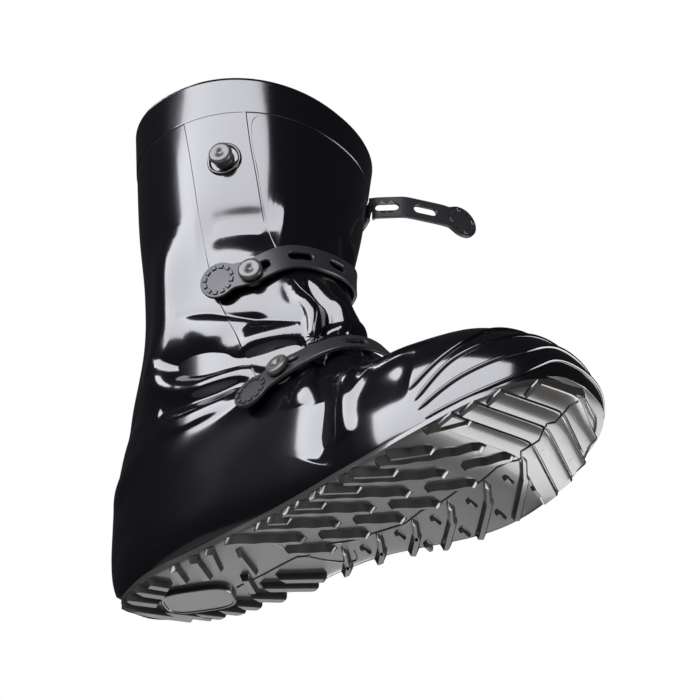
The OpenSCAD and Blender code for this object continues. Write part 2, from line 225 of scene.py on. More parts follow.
# ------------ folds of the rubber
# Each row: height in millimetres (a valley when negative), half width, and a line of (u, turn).
FOLDS = [
    # Across the outer side, between the fastened straps.
    (-1.6, 3.4, [(11.95, 184), (11.76, 168), (11.30, 153), (10.80, 138), (10.40, 124)]),
    (1.8, 11.0, [(12.05, 196), (11.85, 184), (11.45, 171), (11.05, 160), (10.62, 148), (10.15, 135),
                 (9.60, 123)]),
    (-6.6, 9.0, [(11.50, 200), (10.95, 181), (10.40, 164), (9.85, 148), (9.20, 133), (8.70, 126)]),
    (3.0, 6.5, [(11.20, 200), (10.75, 188), (10.25, 171), (9.68, 153), (8.90, 140)]),
    (-2.6, 5.0, [(10.55, 196), (10.20, 182), (9.90, 170), (9.55, 155)]),
    (1.8, 6.0, [(10.25, 196), (9.90, 183), (9.55, 170), (9.10, 156)]),
    # Upright pleats of the gusset.
    (4.2, 5.0, [(12.25, 121), (11.40, 121), (10.40, 118), (9.40, 119), (8.50, 122)]),
    (-3.2, 4.0, [(12.20, 114), (11.40, 111), (10.40, 108), (9.30, 112), (8.40, 119)]),
    (4.4, 5.5, [(12.30, 107), (11.70, 102), (10.80, 99), (9.90, 98), (8.90, 105), (8.20, 115)]),
    (-3.2, 4.5, [(12.30, 96), (11.60, 91), (10.70, 88), (9.70, 87), (8.70, 94)]),
    (3.4, 6.0, [(12.40, 84), (11.60, 77), (10.60, 73), (9.50, 75), (8.50, 84)]),
    (-2.4, 5.0, [(12.40, 70), (11.60, 62), (10.60, 58), (9.50, 60)]),
    (2.2, 7.0, [(12.30, 56), (11.50, 46), (10.50, 40), (9.40, 40)]),
    # A dent above the middle strap, the swell of the calf behind it, and two tucks at the front.
    (-3.9, 15.0, [(13.14, 171), (13.13, 160), (13.11, 147), (13.09, 134), (13.06, 122)]),
    (5.6, 15.0, [(13.50, 189), (12.70, 191), (11.95, 194), (11.25, 199), (10.65, 201)]),
    (-2.0, 6.0, [(13.40, 80), (12.95, 68), (12.60, 62)]),
    (2.0, 6.0, [(13.45, 70), (13.10, 60), (12.70, 54)]),
    # The pleat from the lower strap and the swells under it, down to the toe, then across the instep.
    (-4.2, 3.6, [(7.62, 128), (7.30, 139), (6.95, 149), (6.60, 161), (6.30, 173)]),
    (2.2, 7.5, [(7.55, 142), (7.25, 153), (7.05, 166), (6.95, 178)]),
    (-4.0, 9.0, [(6.75, 138), (6.42, 158), (6.20, 175), (6.15, 188), (6.25, 200)]),
    (3.4, 8.0, [(5.95, 148), (5.65, 165), (5.50, 178), (5.42, 190)]),
    (-2.4, 12.0, [(5.00, 168), (4.30, 174), (3.70, 177)]),
    (-5.5, 7.0, [(6.95, 118), (7.10, 105), (7.12, 90), (7.10, 74), (7.00, 60)]),
    (2.4, 7.0, [(6.30, 112), (6.20, 98), (6.20, 84), (6.25, 70)]),
    # Across the inner side.
    (-2.6, 8.0, [(11.60, 20), (11.20, 0), (10.90, 340)]),
    (2.4, 9.0, [(10.90, 24), (10.45, 2), (10.10, 340)]),
    (-1.8, 9.0, [(10.00, 28), (9.60, 5), (9.30, 345)]),
]
# The fastened straps: lines of (u, turn, lift of the underside) from root to button.
STRAP_PATHS = [
    [(13.05, 38, 0.3), (12.98, 48, 0.6), (12.88, 60, 1.4), (12.70, 80, 1.8), (12.60, 98, 1.8),
     (12.56, 111, 2.0), (12.50, 123, 2.4), (12.36, 134, 3.2), (12.22, 143, 3.8)],
    [(7.80, 26, 0.3), (7.45, 38, 0.8), (7.10, 52, 1.6), (6.80, 68, 2.2), (6.62, 88, 2.2), (6.60, 104, 2.2),
     (6.70, 119, 2.2), (7.05, 136, 2.8), (7.45, 146, 3.4), (7.92, 153, 3.8)]]
# Top, middle and lower button: its (u, turn), and the way in which its strap's end runs there.
BUTTON_SPOTS = [(14.02, 152.7), (12.22, 143), (7.92, 153)]
BUTTON_RUNS = [(-1, -0.4, 0), (-0.95, -0.3, -0.03), (-0.88, -0.17, -0.42)]
# A fold falls off to its sides as exp(-(distance / width)**power). The broad ones are soft swells,
# ridges have full tops and valleys are sharp creases.
BROAD, BROAD_POWER, RIDGE_POWER, CREASE_POWER = 10, 2, 3, 1.35
# How quickly a fold gains its height from either end: over 4, it has all of it at its middle.
FOLD_TAPER = 4.8
# Ridges fade towards the straps, and all folds towards the buttons: where a fade starts and its reach.
STRAP_FADE, BUTTON_FADE = (6, 14), (7.5, 9)


def line_on_skin(line, count):
    """Points on the smooth skin, along a line of (u, turn)."""
    rows = along(line, np.linspace(0, len(line) - 1, count))
    return skin(rows[:, 0], rows[:, 1])


def nearest(points, line):
    """Distance of every point to a chain of segments, and how far along it the nearest place is."""
    best = np.full(len(points), 1e9)
    where = np.zeros(len(points))
    for i in range(len(line) - 1):
        run = line[i + 1] - line[i]
        part = np.clip((points - line[i]) @ run / (run @ run), 0, 1)
        gap = ((points - line[i] - part[:, None] * run)**2).sum(1)
        closer = gap < best
        best = np.where(closer, gap, best)
        where = np.where(closer, (i + part) / (len(line) - 1), where)
    return np.sqrt(best), where


FOLD_LINES = [(height, width, line_on_skin(line, 4 * len(line))) for height, width, line in FOLDS]
STRAP_LINES = [line_on_skin([row[:2] for row in path], 40) for path in STRAP_PATHS]


def fade(gap, start, reach):
    """0 up to the start of the fade, rising to 1 at the end of its reach."""
    return np.clip((gap - start) / reach, 0, 1)


def eased(t):
    """The smooth step of t."""
    return t**2 * (3 - 2 * t)


def relief(points):
    """Height of the folds at points of the smooth skin, in millimetres."""
    flat = points.reshape(-1, 3)
    total = np.zeros(len(flat))
    for height, width, line in FOLD_LINES:
        middle = line.mean(0)
        close = np.abs(flat - middle).max(1) < np.abs(line - middle).max() + 3 * width
        if not close.any():
            continue
        gap, where = nearest(flat[close], line)
        taper = np.clip(FOLD_TAPER * where * (1 - where), 0, 1)
        if width > BROAD:
            power, taper = BROAD_POWER, eased(taper)
        else:
            power, taper = RIDGE_POWER if height > 0 else CREASE_POWER, taper**0.8
        total[close] += height * np.exp(-(gap / width)**power) * taper
    for line in STRAP_LINES:
        gap, _ = nearest(flat, line)
        total = np.where(total > 0, total * eased(fade(gap, *STRAP_FADE)), total)
    for spot in BUTTON_SPOTS:
        total *= fade(np.linalg.norm(flat - skin(*spot), axis=1), *BUTTON_FADE)
    return total.reshape(points.shape[:-1])


def surface(u, turn, lift=0.0):
    """A point on the folded rubber, lifted off it."""
    base, normal = skin(u, turn), skin_normal(u, turn)
    return base + normal * (relief(base) + lift)[..., None]


# ------------ the upper and its layers
def build_upper():
    """The boot's closed skin: folded outside, with a rounded lip and a smooth inside."""
    rings, around, inner_step, inner_start = 520, 480, 4, 2.0
    lip_steps, lip_height = 5, 0.4
    # The rings are spaced evenly by the skin's length, at the front and at the back together.
    even = np.linspace(0, COLLAR, 600)
    step = sum(np.linalg.norm(np.diff(skin(even, turn), axis=0), axis=1) for turn in (90.0, 200.0)) + 0.05
    length = np.concatenate([[0], np.cumsum(step)])
    us = np.interp(np.linspace(0, length[-1], rings), length, even)
    turns = np.arange(around) * 360 / around
    outer = surface(*np.meshgrid(us, turns, indexing="ij"))
    first_inner = int(np.searchsorted(us, inner_start))
    inner_rows = np.concatenate([np.arange(rings - 1, first_inner, -inner_step), [first_inner]])
    inner = skin(us[inner_rows][:, None], turns[None, :], WALL)
    lip = []
    for k in range(1, lip_steps):
        angle = math.pi * k / lip_steps
        out = math.cos(angle) * 0.5 + 0.5
        ring = outer[-1] * out + inner[0] * (1 - out)
        lip.append(ring + np.array([0, 0, math.sin(angle) * WALL * lip_height]))
    rows = np.concatenate([outer, np.array(lip), inner])
    return mesh_object("upper_skin", rows.reshape(-1, 3), tube_faces(len(rows), around), LATEX)


# A layer's bevelled edge stands this far off the rubber, and its root lies inside it.
LAYER_EDGE, LAYER_ROOT = 0.05, -0.4
# A dipping layer's first turns reach lower, from this u down.
DIP_FROM, DIP_OVER = 9.4, 1.4


def layer(name, rows, count, columns, thickness, wrap=False, dip=0.0, flush=None):
    """A thin layer on the folded rubber, from rows of (u, first turn, last turn), with bevelled edges.

    dip lowers the rows at their first turns, and flush is a range of turns with no bevel on the first row.
    """
    fine = along(rows, np.linspace(0, len(rows) - 1, count))
    share = np.linspace(0, 1, columns + (1 if wrap else 0))[:columns]
    u = np.repeat(fine[:, :1], columns, 1)
    turn = fine[:, 1:2] + (fine[:, 2:3] - fine[:, 1:2]) * share[None, :]
    u = u - dip * (1 - share) * np.clip((DIP_FROM - u) / DIP_OVER, 0, 1)
    height = np.full(u.shape, thickness)
    height[0] = height[-1] = LAYER_EDGE
    if flush:
        height[0] = np.where((turn[0] > flush[0]) & (turn[0] < flush[1]), thickness, LAYER_EDGE)
    if not wrap:
        height[:, 0] = height[:, -1] = LAYER_EDGE
    top, low = surface(u, turn, height), surface(u, turn, LAYER_ROOT)
    size = u.size

    def wall(a, b):
        return a, b, size + b, size + a

    faces = grid_faces(count, columns, 0, wrap) + grid_faces(count, columns, size, wrap, True)
    if not wrap:
        faces += [wall(i * columns + j, (i + 1) * columns + j)
                  for i in range(count - 1) for j in (0, columns - 1)]
    faces += [wall(i * columns + j, i * columns + (j + 1) % columns)
              for j in range(columns if wrap else columns - 1) for i in (0, count - 1)]
    return mesh_object(name, np.concatenate([top.reshape(-1, 3), low.reshape(-1, 3)]), faces, LATEX)


def finish_piece(obj, nodes, body="boot"):
    """Gives a piece its body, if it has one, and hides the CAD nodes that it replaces."""
    if body:
        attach(obj, body)
    if nodes:
        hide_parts(*nodes)


PANEL_TOP = 14.52
# Edges of the placket and of the gusset's panel, as rows of (u, turn).
REAR_EDGE = [(7.9, 147), (8.9, 149.5), (9.4, 151), (9.96, 153), (11.0, 158), (11.84, 162.5), (12.4, 165),
             (13.1, 167.5), (13.68, 169.5), (14.2, 172), (PANEL_TOP, 175)]
FRONT_EDGE = [(7.5, 124), (9.4, 121), (10.2, 118.5), (11.0, 117.5), (11.5, 119), (12.05, 123), (12.41, 126),
              (12.71, 129), (13.26, 132.5), (13.7, 135.5), (14.2, 139), (PANEL_TOP, 141)]
GUSSET_EDGE = [(8.0, 100), (11.0, 93), (12.0, 88), (12.71, 91), (13.26, 94), (14.3, 101), (14.5, 103)]
# The gusset's rows of (u, how far its rounded upper corner turns back), and its seam beside the placket.
GUSSET_ROWS = [(u, 0.0) for u in (7.6, 8.6, 9.6, 10.4, 11.0, 11.5, 12.0, 12.41, 12.9, 13.4, 13.9, 14.2)]
GUSSET_ROWS += [(14.38, 1.0), (14.47, 3.2), (14.5, 7.0)]
GUSSET_SEAM = 0.8
LAYER_THICK, COLLAR_THICK = 0.4, 0.45


def edge_turn(edge, u):
    """The turn of an edge at u."""
    return float(np.interp(u, [row[0] for row in edge], [row[1] for row in edge]))


placket_rows = [(u, edge_turn(FRONT_EDGE, u), edge_turn(REAR_EDGE, u)) for u in np.linspace(7.95, 14.6, 18)]
gusset_rows = [(u, edge_turn(GUSSET_EDGE, u), edge_turn(FRONT_EDGE, u) - GUSSET_SEAM - corner)
               for u, corner in GUSSET_ROWS]
collar_rows = [(u, 0, 360) for u in (PANEL_TOP, 14.7, 14.985)]
finish_piece(build_upper(), ["upper"])
finish_piece(layer("placket_layer", placket_rows, 320, 110, LAYER_THICK, dip=1.3),
             ["button_placket"])
finish_piece(layer("gusset_layer", gusset_rows, 300, 90, LAYER_THICK), ["gusset_panel"])
finish_piece(layer("collar_layer", collar_rows, 26, 480, COLLAR_THICK, True, flush=(142, 174)),
             ["collar_band"])


# ------------ buttons and washers
def frame_at(i):
    """Origin and axes at button i: x along the strap's end, y across it and z off the rubber."""
    spot = BUTTON_SPOTS[i]
    origin, z = skin(*spot), skin_normal(*spot)
    y = unit(np.cross(z, np.array(BUTTON_RUNS[i], float)))
    return origin, np.cross(y, z), y, z


def lathe(name, i, profile, material, draped=False, around=72):
    """A turned piece at button i, from a profile of (radius, height); draped ones follow the rubber."""
    origin, x, y, z = frame_at(i)
    angle = np.arange(around) * 2 * math.pi / around
    radius, height = np.array(profile, float).T[:, :, None]
    a, b, h = radius * np.cos(angle), radius * np.sin(angle), height + 0 * angle
    if draped:
        u, turn = BUTTON_SPOTS[i]
        along_u = (skin(u + 0.05, turn) - skin(u - 0.05, turn)) / 0.1
        along_turn = (skin(u, turn + 1) - skin(u, turn - 1)) / 2
        to_skin = np.linalg.inv(np.array([[along_u @ x, along_turn @ x], [along_u @ y, along_turn @ y]]))
        points = surface(u + to_skin[0, 0] * a + to_skin[0, 1] * b,
                         turn + to_skin[1, 0] * a + to_skin[1, 1] * b, h)
    else:
        points = origin + a[..., None] * x + b[..., None] * y + h[..., None] * z
    return mesh_object(name, points.reshape(-1, 3), tube_faces(len(profile), around), material)


STRAP_LIFT, STRAP_THICK, STRAP_HALF = 3.8, 2.4, 8.5
HEAD_LOW = STRAP_LIFT + STRAP_THICK + 0.4
# Profiles of (radius, height off the rubber). The heads have a shallow dimple in their domes.
DOME = [(radius, HEAD_LOW + height) for radius, height in (
    (7.45, 1.2), (7.5, 2.0), (7.3, 2.9), (6.8, 3.6), (6.1, 4.0), (5.2, 4.2), (4.0, 4.15), (2.8, 3.9),
    (1.7, 3.4), (0.8, 2.9), (0.3, 2.8))]
STUD = [(0.4, -2.5), (3.0, -2.5), (3.0, 1.2), (2.6, 2.0), (2.5, HEAD_LOW - 0.2), (3.2, HEAD_LOW),
        (6.4, HEAD_LOW + 0.1), (7.1, HEAD_LOW + 0.5)] + DOME
TOP_STUD = [(0.4, -2.5), (6.6, -2.5), (6.6, 2.6), (6.2, 3.4), (6.1, 5.6), (6.5, HEAD_LOW - 0.4),
            (6.9, HEAD_LOW + 0.1), (7.3, HEAD_LOW + 0.6)] + DOME
RING = [(1.0, -0.6), (11.0, -0.6), (11.15, 0.5), (11.0, 1.5), (10.6, 2.1), (10.0, 2.35), (9.4, 2.1),
        (9.1, 1.5), (9.0, 0.9), (8.6, 0.7), (7.5, 0.9), (3.0, 1.0), (1.0, 1.0)]
PAD = [(1.0, -0.5), (7.6, -0.5), (7.8, 0.6), (7.6, 1.8), (7.0, 2.4), (6.0, 2.5), (3.2, 2.5), (1.0, 2.5)]
for i, where in enumerate(("top", "middle", "lower")):
    stud = lathe("stud_" + where, i, TOP_STUD if i == 0 else STUD, BUTTON)
    finish_piece(stud, ["button_" + where])
    washer = lathe("washer_ring_" + where, i, RING if i == 0 else PAD, LATEX, draped=True)
    finish_piece(washer, ["washer_" + where])


# ------------ straps
def inside(polygon, points):
    """Which points lie inside a closed polygon."""
    (ax, ay), (bx, by) = polygon.T, np.roll(polygon, -1, axis=0).T
    x, y = points[:, 0][:, None], points[:, 1][:, None]
    crossing = (bx - ax) * (y - ay) / np.where(by == ay, 1e-9, by - ay) + ax
    return (((ay > y) != (by > y)) & (x < crossing)).sum(1) % 2 == 1


def inset(loop, distance):
    """Moves a counter-clockwise loop to its left."""
    run = unit(np.roll(loop, -1, axis=0) - np.roll(loop, 1, axis=0))
    return loop + np.stack([-run[:, 1], run[:, 0]], 1) * distance


def stadium(centre, length, width, points=10):
    """Outline of a slot along the strap, whose ends are half circles."""
    r = width / 2
    angle = np.linspace(-90, 90, points) * DEG
    right_end = np.stack([centre + length / 2 - r + r * np.cos(angle), r * np.sin(angle)], 1)
    left_end = np.stack([centre - length / 2 + r - r * np.cos(angle), -r * np.sin(angle)], 1)
    return np.concatenate([right_end, [[centre, r]], left_end, [[centre, -r]]])


# In a plate: how near two places count as one, where its inner points start, and how clear of its
# edges they stay, as a share of their spacing.
SAME, GRID_START, GRID_CLEAR = 1e-6, (0.7, 0.6), 0.45


def plate(outline, holes, thickness, bevel, spacing, place, square_ends=()):
    """Points and faces of a plate with holes and bevelled edges, bent by place(s, w, h).

    Its square ends, where it meets the next piece of a strap, have no bevel.
    """
    flat, edges = [], []
    for loop in [outline] + holes:
        first = len(flat)
        edges += [(first + k, first + (k + 1) % len(loop)) for k in range(len(loop))]
        flat += loop.tolist()
    at_rim = [True] * len(flat)
    for k, (s, w) in enumerate(outline):
        if any(abs(s - end) < SAME for end in square_ends) and abs(w) < STRAP_HALF - 0.1:
            at_rim[k] = False
    inner = inset(outline, bevel)
    away_from_ends = [all(abs(s - end) > bevel * 1.05 for end in square_ends) for s in inner[:, 0]]
    for loop in [inner[away_from_ends]] + [inset(hole[::-1], bevel) for hole in holes]:
        flat += loop.tolist()
    low, high = outline.min(0), outline.max(0)
    grid = np.stack(np.meshgrid(*(np.arange(low[k] + GRID_START[k], high[k], spacing) for k in (0, 1))), -1)
    grid = grid.reshape(-1, 2)
    clear = np.sqrt(((grid[:, None] - np.array(flat)[None])**2).sum(-1)).min(1) > spacing * GRID_CLEAR
    good = inside(inner, grid) & clear
    for hole in holes:
        good &= ~inside(inset(hole, -bevel), grid)
    flat += grid[good].tolist()
    at_rim += [False] * (len(flat) - len(at_rim))
    verts, _, tris, came_from, _, _ = delaunay_2d_cdt([Vector(p) for p in flat], edges, [], 0, 1e-5)
    verts, tris = np.array([tuple(v) for v in verts]), np.array(tris)
    rim = np.array([any(at_rim[o] for o in ids) for ids in came_from])
    renamed = {o: k for k, ids in enumerate(came_from) for o in ids}
    centres = verts[tris].mean(1)
    keep = inside(outline, centres)
    for hole in holes:
        keep &= ~inside(hole, centres)
    tris = tris[keep].tolist()
    top = place(verts[:, 0], verts[:, 1], np.where(rim, thickness - bevel, thickness))
    under = place(verts[:, 0], verts[:, 1], np.where(rim, bevel, 0.0))
    count = len(verts)
    faces = [tuple(t) for t in tris] + [tuple(v + count for v in t[::-1]) for t in tris]
    faces += [(renamed[a], renamed[b], renamed[b] + count, renamed[a] + count) for a, b in edges]
    return np.concatenate([top, under]), faces


def block(centre, turn, length, width, low, high, place):
    """A small raised block with a bevelled top, on a bent plate."""
    bevel = 0.25
    corners = np.array([(-1, -1), (1, -1), (1, 1), (-1, 1)]) * 0.5
    rings = []
    for size, h in ((0.0, low), (0.0, high - bevel), (2 * bevel, high)):
        offset = corners * [length - size, width - size]
        s = centre[0] + offset[:, 0] * math.cos(turn) - offset[:, 1] * math.sin(turn)
        w = centre[1] + offset[:, 0] * math.sin(turn) + offset[:, 1] * math.cos(turn)
        rings.append(place(s, w, np.full(4, h)))
    return np.concatenate(rings), tube_faces(3, 4)


def joined(parts):
    """Points and faces of several parts as one."""
    points, faces, start = [], [], 0
    for p, f in parts:
        points.append(p)
        faces += [tuple(v + start for v in face) for face in f]
        start += len(p)
    return np.concatenate(points), faces


def resampled(values, at, wanted):
    """Rows of three values, known at some distances, at the wanted distances."""
    return np.stack([np.interp(wanted, at, values[:, k]) for k in range(3)], -1)


class Ribbon:
    """A strap's centre line with its frames, smoothed, by distance along it."""

    def __init__(self, points, ups):
        gone = np.concatenate([[0], np.cumsum(np.linalg.norm(np.diff(points, axis=0), axis=1))])
        self.s = np.arange(0, gone[-1] + 0.5, 0.5)
        self.p = self.smooth(resampled(points, gone, self.s))
        run = unit(np.gradient(self.p, axis=0))
        self.side = unit(np.cross(unit(self.smooth(resampled(ups, gone, self.s))), run))
        self.up = np.cross(run, self.side)

    @staticmethod
    def smooth(v, reach=5, passes=2):
        """Running mean of rows, whose ends stay in place."""
        for _ in range(passes):
            padded = np.concatenate([2 * v[:1] - v[reach:0:-1], v, 2 * v[-1:] - v[-2:-reach - 2:-1]])
            v = np.stack([padded[k:k + len(v)] for k in range(2 * reach + 1)]).mean(0)
        return v

    def place(self, s, w, h):
        """Points at distance s along, w across and h above the underside."""
        middle, side, up = (resampled(v, self.s, s) for v in (self.p, self.side, self.up))
        return middle + side * w[:, None] + up * (h - STRAP_THICK / 2)[:, None]

    def find(self, point):
        """Distance along the ribbon of the place nearest to a point."""
        return float(self.s[np.linalg.norm(self.p - point, axis=1).argmin()])


TAB_RADIUS, NECK = 12.0, 1.2
STRAP_BEVEL, STRAP_STEP, STRAP_GRID = 0.45, 1.2, 2.2
SLOT_LENGTH, SLOT_WIDTH = 16, 5.8
# The raised dashes round a tab: how many, how far from its centre, length and width, and height.
DASHES, DASH_RADIUS, DASH_SIZE, DASH_HEIGHT = 12, 8.9, (2.5, 3.0), 0.85
# From a fastened strap's button: its slot's middle (behind), the cut to its tab, and the tab's hinge.
SLOT_BEHIND, TAB_CUT, WEB_END, HINGE_GAP = 5.0, 3.6, 8.4, 0.5


def half_width(s, tab_at):
    """Half width of a strap whose tab's centre is at tab_at, with soft necks where the web meets it."""
    disc = np.sqrt(np.maximum(TAB_RADIUS**2 - (s - tab_at)**2, 0))
    web = np.where(s < tab_at, STRAP_HALF, 0)
    soft = NECK * np.maximum(1 - np.abs(disc - web) / (2 * NECK), 0)**2 / 2 * (s < tab_at)
    return np.minimum(np.maximum(disc, web) + soft, TAB_RADIUS)


def strap_outline(start, stop, tab_at):
    """Counter-clockwise outline between two places along the strap; the tab ends it if stop is None."""
    s = np.arange(start, tab_at if stop is None else stop, STRAP_STEP)
    upper_side = np.stack([s, half_width(s, tab_at)], 1)
    across = np.linspace(1, -1, 9) * (STRAP_HALF - STRAP_BEVEL)
    near = np.stack([np.full(len(across), start), across], 1)
    if stop is None:
        angle = np.linspace(90, -90, 31) * DEG
        end = np.stack([tab_at + TAB_RADIUS * np.cos(angle), TAB_RADIUS * np.sin(angle)], 1)
    else:
        end = np.array([(stop, w) for w in (STRAP_HALF, *across, -STRAP_HALF)])
    loop = np.concatenate([upper_side, end, (upper_side * [1, -1])[::-1], near[::-1]])
    return loop[::-1]


def tab_dashes(tab_at, place):
    """The raised dashes round a tab."""
    parts = []
    for k in range(DASHES):
        angle = (k + 0.5) * 2 * math.pi / DASHES
        centre = (tab_at + DASH_RADIUS * math.cos(angle), DASH_RADIUS * math.sin(angle))
        parts.append(block(centre, angle, *DASH_SIZE, STRAP_THICK - 0.3, STRAP_THICK + DASH_HEIGHT, place))
    return parts


def strap_piece(name, ribbon, start, stop, tab_at, slots, cuts=(), dashes=False):
    """One piece of a strap, between two places along its ribbon."""
    holes = [stadium(centre, SLOT_LENGTH, SLOT_WIDTH) for centre in slots]
    outline = strap_outline(start, stop, tab_at)
    parts = [plate(outline, holes, STRAP_THICK, STRAP_BEVEL, STRAP_GRID, ribbon.place, cuts)]
    if dashes:
        parts += tab_dashes(tab_at, ribbon.place)
    obj = mesh_object(name, *joined(parts), STRAP)
    obj.data.set_sharp_from_angle(angle=38 * DEG)
    return obj


def strap_line(path, count):
    """Middle line and normals of a strap on the skin, from rows of (u, turn, lift of the underside)."""
    rows = along(path, np.linspace(0, len(path) - 1, count))
    ups = skin_normal(rows[:, 0], rows[:, 1])
    return skin(rows[:, 0], rows[:, 1]) + ups * (rows[:, 2] + STRAP_THICK / 2)[:, None], ups


def straight(start, heading, up, length):
    """Points a millimetre apart on a straight line, each with its upward direction."""
    return [(start + heading * d, up) for d in np.arange(1.0, length, 1.0)]


def extended(points, ups, more):
    """A ribbon along points with their upward directions, then along more pairs of them."""
    more_points, more_ups = zip(*more)
    return Ribbon(np.concatenate([points, more_points]), np.concatenate([ups, more_ups]))


def fastened(i, tilt):
    """The strap over button i, as a ribbon from its root to the end of its tab, with its hinge."""
    path = STRAP_PATHS[i - 1]
    origin, x, _, z = frame_at(i)
    middle = origin + z * (STRAP_LIFT + STRAP_THICK / 2)
    lean = math.radians(tilt)
    out, up = x * math.cos(lean) - z * math.sin(lean), z * math.cos(lean) + x * math.sin(lean)
    hinge = middle + x * (WEB_END + HINGE_GAP / 2)
    more = straight(middle, x, z, WEB_END + 0.3) + straight(hinge, out, up, 30.0)
    return extended(*strap_line(path, 12 * len(path)), more), middle, hinge, x


# The (u, turn) of the free slots in each fastened strap's web.
WEB_SLOTS = [[(12.54, 115), (12.65, 89)], [(6.68, 117), (6.61, 91)]]
for i, where, tilt in ((1, "middle", 9), (2, "lower", 1)):
    ribbon, middle, hinge, run = fastened(i, tilt)
    at_button = ribbon.find(middle)
    tab_at = at_button + WEB_END + HINGE_GAP + TAB_RADIUS
    slots = [at_button - SLOT_BEHIND]
    slots += [ribbon.find(skin(*spot) + 3 * skin_normal(*spot)) for spot in WEB_SLOTS[i - 1]]
    cut = at_button + TAB_CUT
    web = strap_piece("strap_web_" + where, ribbon, 0.0, cut, tab_at, slots, (cut,))
    finish_piece(web, ["strap_root_" + where, "strap_%s_web" % where])
    tab = strap_piece("strap_tab_" + where, ribbon, cut, None, tab_at, [], (cut,), True)
    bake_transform(tab)
    finish_piece(tab, ["strap_%s_tab" % where], None)

# The open strap: its first pivot, and the length and heading of each link.
PIVOT = np.array([94, 54, 279.0])
LINK_LENGTHS, LINK_TURNS = (23, 28, 30), (38, 60, 73)
ROOT_PATH = [(14.5, 12, 1.4), (14.48, 26, 1.4), (14.46, 38, 1.45)]
# Its slots (on the root, and from the first two pivots), its cuts from them, and its tab from the last.
ROOT_SLOT, LINK_SLOTS, LINK_CUTS, TAB_FROM = (14.48, 25), (10.5, 14), (19.8, 23.6), 1.5
LINK_NODES = (("strap_root_top", "strap_top_link_1"), ("strap_top_link_2",), ("strap_top_tab",))


def build_open_strap():
    """Three pieces along one ribbon, each running across the pivot at its start."""
    headings = [np.array([math.cos(a * DEG), math.sin(a * DEG), 0]) for a in LINK_TURNS]
    pivots, more = [PIVOT], []
    for heading, length in zip(headings, LINK_LENGTHS):
        more += straight(pivots[-1], heading, np.cross(heading, [0, 0, 1.0]), length)
        pivots.append(pivots[-1] + heading * length)
    ribbon = extended(*strap_line(ROOT_PATH, 30), more)
    at = [ribbon.find(pivot) for pivot in pivots[:3]]
    tab_at = at[2] + TAB_FROM + TAB_RADIUS
    root_slot = ribbon.find(skin(*ROOT_SLOT) + 2.5 * skin_normal(*ROOT_SLOT))
    slots = ([root_slot, at[0] + LINK_SLOTS[0]], [at[1] + LINK_SLOTS[1]], [])
    cuts = (at[0] + LINK_CUTS[0], at[1] + LINK_CUTS[1])
    for k, (start, stop) in enumerate(((0.0, cuts[0]), cuts, (cuts[1], None))):
        piece = strap_piece("open_strap_%d" % (k + 1), ribbon, start, stop, tab_at, slots[k],
                            tuple(cut for cut in cuts if cut in (start, stop)), stop is None)
        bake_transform(piece)
        finish_piece(piece, LINK_NODES[k], None)


build_open_strap()


# ------------ ribs over the toe and the pull lug
# Each rib's outer half, as a line of (u, turn); the inner half mirrors it.
RIBS = [
    [(3.76, 181), (3.36, 174), (2.92, 157), (2.60, 132), (2.35, 104)],
    [(3.68, 185), (3.20, 177), (2.70, 163), (2.20, 140), (1.90, 112)],
    [(3.64, 190), (3.10, 182), (2.42, 176), (1.76, 160), (1.32, 117)],
    [(3.56, 197), (2.84, 191), (2.08, 185), (1.45, 177), (0.85, 150)]]
RIB_HALF, RIB_HEIGHT, RIB_STATIONS = 1.35, 1.4, 160
# It has its whole height from this share of its length in.
RIB_TAPER = 1 / 30
# A rib's cross-section, in shares of its half width and height.
RIB_PROFILE = [(-1.0, -0.5), (-1.0, 0.15), (-0.7, 0.75), (-0.35, 1.0), (0.35, 1.0), (0.7, 0.75), (1.0, 0.15),
               (1.0, -0.5)]
TOE_U, TOE_TURN = np.meshgrid(np.arange(0, 5, 0.02), np.arange(0, 360, 1.5), indexing="ij")
TOE_POINTS, TOE_NORMALS = (f(TOE_U, TOE_TURN).reshape(-1, 3) for f in (skin, skin_normal))


def drape(points):
    """The nearest places on the toe's skin, with their normals."""
    found = np.array([((TOE_POINTS - p)**2).sum(1).argmin() for p in points])
    at, normal = TOE_POINTS[found], unit(Ribbon.smooth(TOE_NORMALS[found]))
    return Ribbon.smooth(points - normal * ((points - at) * normal).sum(1, keepdims=True), 3, 2), normal


def rib(line):
    """A rounded ridge across the toe, tapered into the skin at both ends."""
    knots = np.array(line + [(u, 180 - turn) for u, turn in line[::-1]], float)
    t = np.linspace(0, 1, RIB_STATIONS)
    centre, normal = drape(along(skin(knots[:, 0], knots[:, 1]), t * (len(knots) - 1)))
    side = unit(np.cross(normal, unit(np.gradient(centre, axis=0))))
    taper = np.clip(t / RIB_TAPER, 0, 1)**0.5 * np.clip((1 - t) / RIB_TAPER, 0, 1)**0.5
    points = np.stack([centre + side * (RIB_HALF * taper * a)[:, None]
                       + normal * (RIB_HEIGHT * (b * taper + 0.02 * (b > 0)))[:, None]
                       for a, b in RIB_PROFILE], 1)
    return points.reshape(-1, 3), tube_faces(RIB_STATIONS, len(RIB_PROFILE))


def superellipse(count, half_x, half_y, power):
    """A rounded rectangle's outline about the origin."""
    angle = np.arange(count) * 2 * math.pi / count
    x, y = signed_power(np.cos(angle), power) * half_x, signed_power(np.sin(angle), power) * half_y
    return np.stack([x, y], 1)


def build_pull_lug():
    """A small bevelled block on the back of the collar."""
    spot, lift = (14.4, 270.0), 1.3
    origin, up = skin(*spot), skin_normal(*spot)
    side = unit(np.cross(up, [0, 0, 1.0]))
    run = np.cross(side, up)

    def place(s, w, h):
        return origin + s[:, None] * run + w[:, None] * side + (h + lift)[:, None] * up

    outline = superellipse(40, 7, 4.5, 0.35)
    return mesh_object("pull_lug_block", *plate(outline, [], 5.0, 1.0, 1.6, place), LATEX)


